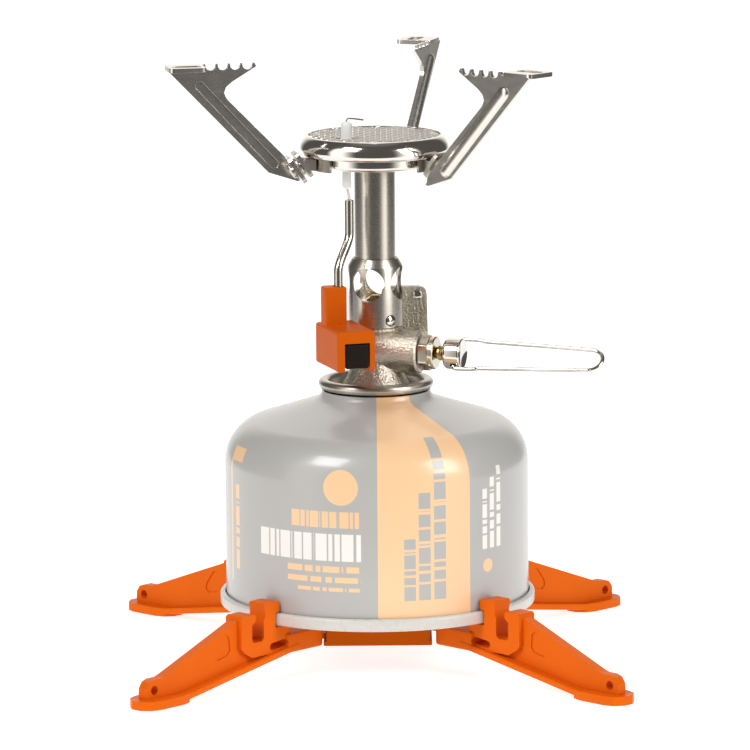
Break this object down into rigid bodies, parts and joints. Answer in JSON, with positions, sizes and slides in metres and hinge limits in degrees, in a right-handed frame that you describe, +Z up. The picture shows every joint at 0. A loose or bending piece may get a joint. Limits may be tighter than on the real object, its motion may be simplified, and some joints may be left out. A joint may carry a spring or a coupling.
{
  "type": "camping stove",
  "caption": "Folding screw-on gas stove with burner, pot supports, igniter and wire valve handle on a squat gas canister with a clip-on folding stabilizer stand.",
  "frame": {"origin": "middle of the bounding box in plan, at the level the feet stand on; the canister's and burner's common axis is the Z axis", "axes": "+Z up along the canister's axis; -Y is the front, towards the igniter button and the two nearer legs; +X is to the right, the side of the valve handle"},
  "size_m": [0.1523, 0.1511, 0.1784],
  "materials": {
    "canister_paint": "satin pale grey print with amber panel",
    "canister_white": "gloss warm white",
    "steel": "satin drawn stainless steel",
    "polished": "polished stainless steel",
    "chromed": "bright plated steel",
    "nickel": "nickel-plated casting, fine grain",
    "brass": "plain turned brass",
    "rubber": "matt seal rubber",
    "orange_plastic": "moulded, satin",
    "button_plastic": "moulded, satin black",
    "ceramic": "plain white ceramic"
  },
  "bodies": {
    "stove": {"air_sleeve": "steel", "burner_pan": "polished", "burner_plate": "steel", "burner_ring": "polished", "burner_tube": "steel", "canister_base": "canister_white", "canister_shell": "canister_paint", "canister_valve_cup": "steel", "canister_valve_plunger": "brass", "canister_valve_post": "steel", "electrode_insulator": "ceramic", "electrode_insulator_lower": "ceramic", "electrode_lead": "rubber", "electrode_tube": "steel", "electrode_wire": "steel", "gas_jet": "brass", "gland_nut": "nickel", "igniter_housing": "orange_plastic", "inlet_gasket": "rubber", "inlet_pin": "brass", "lug_pin": "chromed", "piezo_core": "button_plastic", "sleeve_screw": "chromed", "stabilizer_hub": "orange_plastic", "stabilizer_pin": "steel", "stem_seal": "rubber", "support_bracket_left": "steel", "support_bracket_rear": "steel", "support_bracket_right": "steel", "support_rivet_left": "steel", "support_rivet_rear": "steel", "support_rivet_right": "steel", "support_washer_left": "steel", "support_washer_rear": "steel", "support_washer_right": "steel", "valve_body": "nickel"},
    "pot_support_rear": {"pot_support_rear": "polished"},
    "pot_support_left": {"pot_support_left": "polished"},
    "pot_support_right": {"pot_support_right": "polished"},
    "valve_control": {"valve_needle": "brass", "control_knob": "chromed"},
    "wire_handle": {"wire_handle": "polished"},
    "igniter_button": {"igniter_button": "button_plastic"},
    "lower_beam": {"stabilizer_beam_lower": "orange_plastic"},
    "upper_beam": {"stabilizer_beam_upper": "orange_plastic"}
  },
  "joints": [
    {"name": "support_fold_rear", "type": "hinge", "parent": "stove", "child": "pot_support_rear", "pos_m": [0.00371, 0.02388, 0.1474], "axis": [-0.2429, -0.7751, 0.5832], "range_deg": [0, 150]},
    {"name": "support_fold_left", "type": "hinge", "parent": "stove", "child": "pot_support_left", "pos_m": [-0.02263, -0.00849, 0.1474], "axis": [0.7946, 0.1689, 0.5832], "range_deg": [0, 150]},
    {"name": "support_fold_right", "type": "hinge", "parent": "stove", "child": "pot_support_right", "pos_m": [0.02005, -0.01349, 0.1474], "axis": [-0.5989, 0.5488, 0.5832], "range_deg": [0, 150]},
    {"name": "valve_turn", "type": "hinge", "parent": "stove", "child": "valve_control", "pos_m": [0, 0, 0.0919], "axis": [0.9455, -0.3256, 0], "range_deg": [0, 720]},
    {"name": "handle_fold", "type": "hinge", "parent": "valve_control", "child": "wire_handle", "pos_m": [0.02383, -0.0082, 0.0919], "axis": [-0.242, -0.7026, -0.6691], "range_deg": [-45, 90]},
    {"name": "igniter_press", "type": "slide", "parent": "stove", "child": "igniter_button", "axis": [-0.309, 0.9511, 0], "range_m": [0, 0.003], "stiffness_N_per_m": 400},
    {"name": "leg_fold_lower", "type": "hinge", "parent": "stove", "child": "lower_beam", "pos_m": [0, 0, 0.01], "axis": [0, 0, -1], "range_deg": [0, 35]},
    {"name": "leg_fold_upper", "type": "hinge", "parent": "stove", "child": "upper_beam", "pos_m": [0, 0, 0.012], "axis": [0, 0, 1], "range_deg": [0, 35]}
  ],
  "couplings": [
    {"joint": "leg_fold_upper", "follows": "leg_fold_lower", "ratio": 1}
  ]
}
